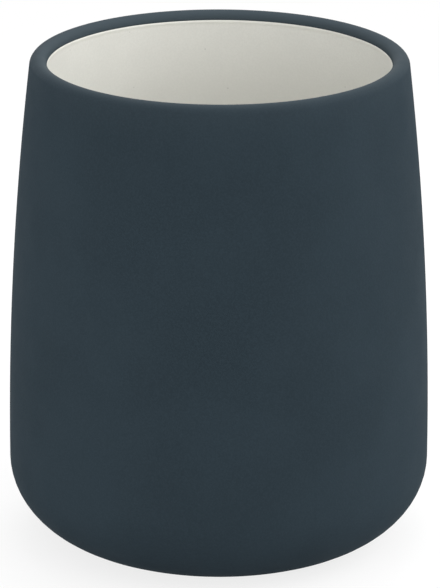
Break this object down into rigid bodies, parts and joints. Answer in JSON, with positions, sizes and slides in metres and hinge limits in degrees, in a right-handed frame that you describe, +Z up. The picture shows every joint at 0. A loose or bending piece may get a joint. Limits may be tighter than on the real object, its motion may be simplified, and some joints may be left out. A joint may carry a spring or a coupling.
{
  "type": "ceramic pen holder",
  "caption": "Round ceramic desk pot that stands pens upright: gently tapered wall, rolled lip, rounded heel, dark matte outside and cream glazed inside.",
  "frame": {"origin": "centre of the base, in the plane that the pads stand on", "axes": "+Z up along the axis of the cup; +X and +Y are interchangeable, since the form is round and its four pads lie on the diagonals"},
  "size_m": [0.0856, 0.0856, 0.1],
  "materials": {
    "bare_clay": "fired stoneware, unglazed, dry and slightly gritty",
    "matte_coat": "dark slate matte glaze, velvety, with a faint sheen",
    "cream_glaze": "warm cream satin glaze with a fine speckle",
    "pad_rubber": "soft translucent grey, satin"
  },
  "bodies": {
    "root": {"ceramic_body": "bare_clay", "outer_matte_coat": "matte_coat", "interior_glaze": "cream_glaze", "foot_pad_1": "pad_rubber", "foot_pad_2": "pad_rubber", "foot_pad_3": "pad_rubber", "foot_pad_4": "pad_rubber"}
  },
  "joints": []
}
